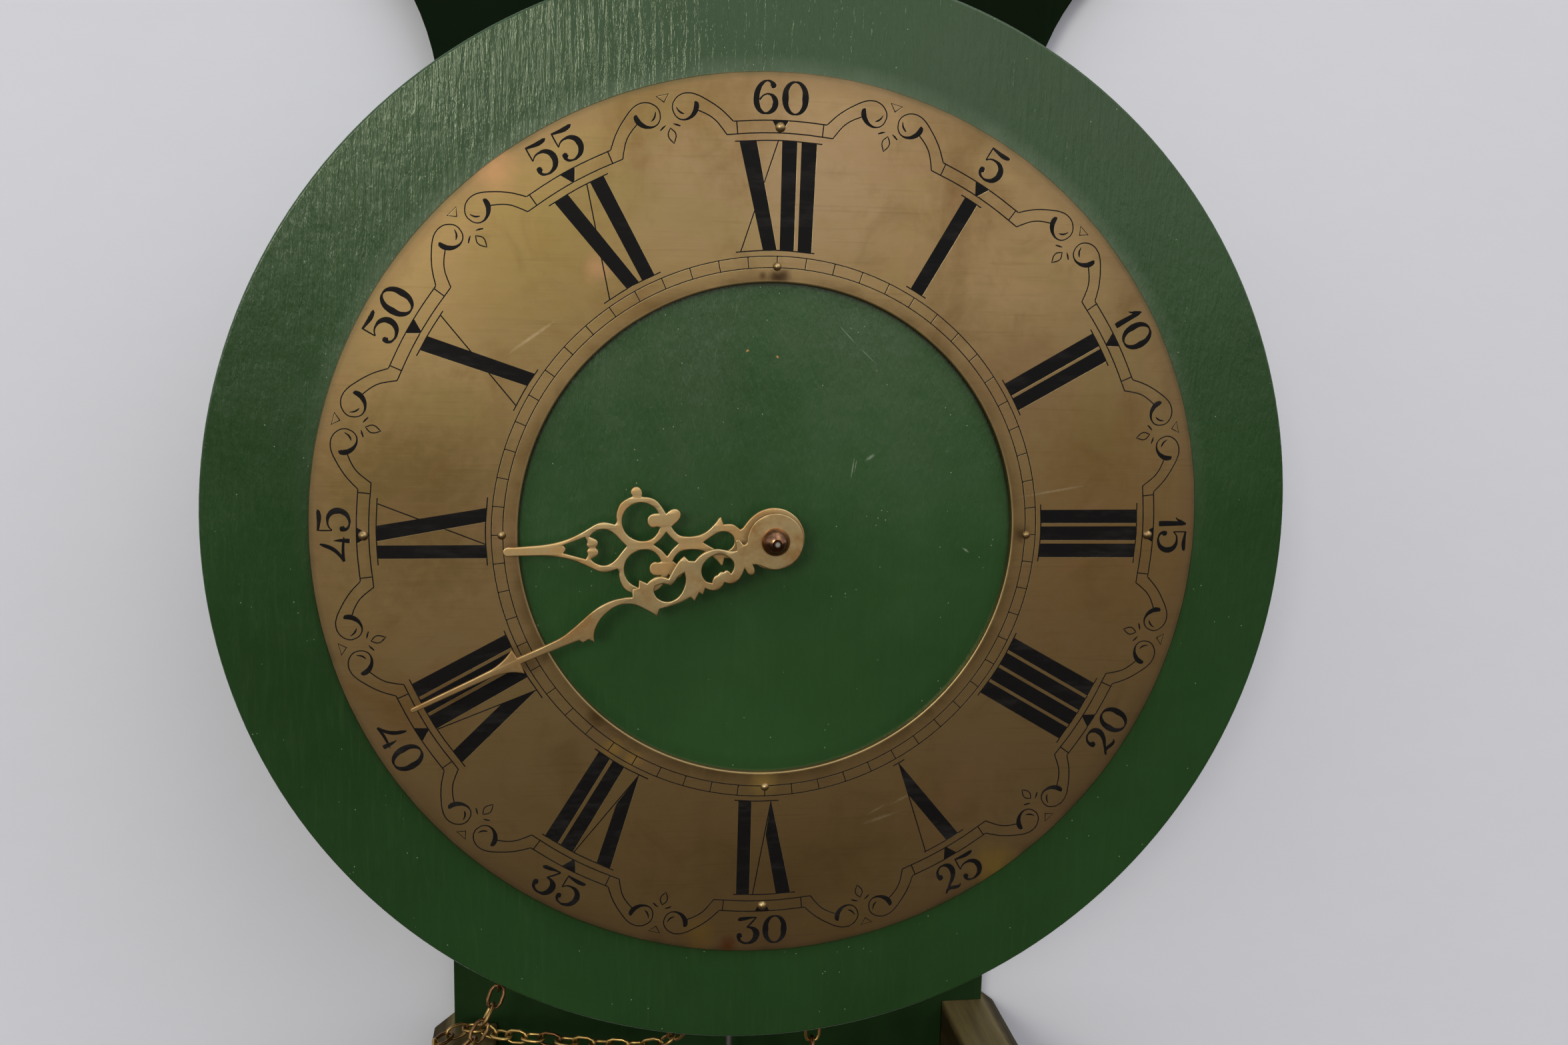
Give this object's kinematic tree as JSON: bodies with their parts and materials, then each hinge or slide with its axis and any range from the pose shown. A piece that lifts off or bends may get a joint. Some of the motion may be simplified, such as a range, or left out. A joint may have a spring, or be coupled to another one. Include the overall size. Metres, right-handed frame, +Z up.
{
  "type": "weight-driven wall clock",
  "caption": "Wall clock with a round painted dial, engraved brass chapter ring and pierced hands, a chain-driven wheel train, pendulum and weight, on a carved board held by bracket cheeks.",
  "frame": {"origin": "on the wall face of the hanging board, straight behind the centre of the dial", "axes": "+Z up, +X to the right of someone facing the clock, +Y from the front towards the wall"},
  "size_m": [0.368, 0.1444, 1.1084],
  "materials": {
    "dark_wood": "aged dark green-black paint over wood",
    "plain_wood": "plain planed wood",
    "green_paint": "brushed dark green gloss paint on wood",
    "ring_brass": "tarnished brass with dark wax in the engraving",
    "hand_brass": "worn gold-coloured brass",
    "chain_brass": "worn brass wire",
    "nut_copper": "copper-coloured brass, rubbed bright",
    "weight_iron": "dark cast iron",
    "steel": "dull grey steel",
    "movement_brass": "plain brass"
  },
  "bodies": {
    "clock": {"back_cock": "movement_brass", "back_plate": "movement_brass", "backboard": "dark_wood", "bracket_cheek_left": "dark_wood", "bracket_cheek_right": "dark_wood", "case_side_left": "dark_wood", "case_side_right": "dark_wood", "case_top": "dark_wood", "centre_stud": "steel", "chain_nail": "steel", "chapter_ring": "ring_brass", "dial_batten_left": "plain_wood", "dial_batten_right": "plain_wood", "dial_disc": "green_paint", "drive_chain": "chain_brass", "front_plate": "movement_brass", "minute_stud": "steel", "pillars": "movement_brass", "seat_board": "plain_wood", "slack_chain": "chain_brass"},
    "great": {"great_arbor": "steel", "great_wheel": "movement_brass", "chain_sprocket": "steel", "ratchet_wheel": "steel", "click": "steel", "click_spring": "steel"},
    "second": {"second_arbor": "steel", "second_wheel": "movement_brass", "motion_drive_wheel": "movement_brass"},
    "third": {"third_arbor": "steel", "third_wheel": "movement_brass"},
    "escape": {"escape_arbor": "steel", "escape_wheel": "movement_brass"},
    "minute": {"cannon_wheel": "movement_brass", "minute_hand": "hand_brass", "hand_nut": "nut_copper"},
    "minute_train": {"minute_wheel": "movement_brass"},
    "hour": {"hour_wheel": "movement_brass", "hour_hand": "hand_brass"},
    "pallets": {"pallet_arbor": "steel", "pallet_anchor": "steel", "crutch": "steel"},
    "pendulum": {"suspension_spring": "steel", "pendulum_rod": "steel", "pendulum_bob": "movement_brass", "rating_nut": "movement_brass"},
    "driving_weight": {"weight_hook": "steel", "weight": "weight_iron"}
  },
  "joints": [
    {"name": "weight_lift", "type": "slide", "parent": "clock", "child": "driving_weight", "axis": [0, 0, 1], "range_m": [0, 0.4864], "deforming": ["drive_chain"]},
    {"name": "escape_turn", "type": "hinge", "parent": "clock", "child": "escape", "pos_m": [0, 0, 0.03002], "axis": [0, 1, 0], "range_deg": [0, 870912.87]},
    {"name": "second_turn", "type": "hinge", "parent": "clock", "child": "second", "pos_m": [0, 0, -0.0216], "axis": [0, 1, 0], "range_deg": [0, 9216.01]},
    {"name": "third_turn", "type": "hinge", "parent": "clock", "child": "third", "pos_m": [-0.024, 0, 0.00523], "axis": [0, 1, 0], "range_deg": [-82944.08, 0]},
    {"name": "great_turn", "type": "hinge", "parent": "clock", "child": "great", "pos_m": [0.004, 0, -0.06597], "axis": [0, 1, 0], "range_deg": [-1152, 0]},
    {"name": "minute_hand_turn", "type": "hinge", "parent": "clock", "child": "minute", "pos_m": [0, 0, 0], "axis": [0, 1, 0], "range_deg": [-9216.01, 0]},
    {"name": "minute_wheel_turn", "type": "hinge", "parent": "clock", "child": "minute_train", "pos_m": [0.024, 0, 0], "axis": [0, 1, 0], "range_deg": [0, 3072]},
    {"name": "hour_hand_turn", "type": "hinge", "parent": "clock", "child": "hour", "pos_m": [0, 0, 0], "axis": [0, 1, 0], "range_deg": [-768, 0]},
    {"name": "pendulum_swing", "type": "hinge", "parent": "clock", "child": "pendulum", "pos_m": [0, 0, 0.05406], "axis": [0, 1, 0], "range_deg": [-3, 3]},
    {"name": "pallet_rock", "type": "hinge", "parent": "clock", "child": "pallets", "pos_m": [0, 0, 0.05406], "axis": [0, 1, 0], "range_deg": [-3, 3]}
  ],
  "couplings": [
    {"joint": "escape_turn", "follows": "weight_lift", "rad_per_m": 31251},
    {"joint": "second_turn", "follows": "weight_lift", "rad_per_m": 330.69},
    {"joint": "third_turn", "follows": "weight_lift", "rad_per_m": -2976.2},
    {"joint": "great_turn", "follows": "weight_lift", "rad_per_m": -41.337},
    {"joint": "minute_hand_turn", "follows": "weight_lift", "rad_per_m": -330.69},
    {"joint": "minute_wheel_turn", "follows": "weight_lift", "rad_per_m": 110.23},
    {"joint": "hour_hand_turn", "follows": "weight_lift", "rad_per_m": -27.558},
    {"joint": "pallet_rock", "follows": "pendulum_swing", "ratio": 1}
  ]
}
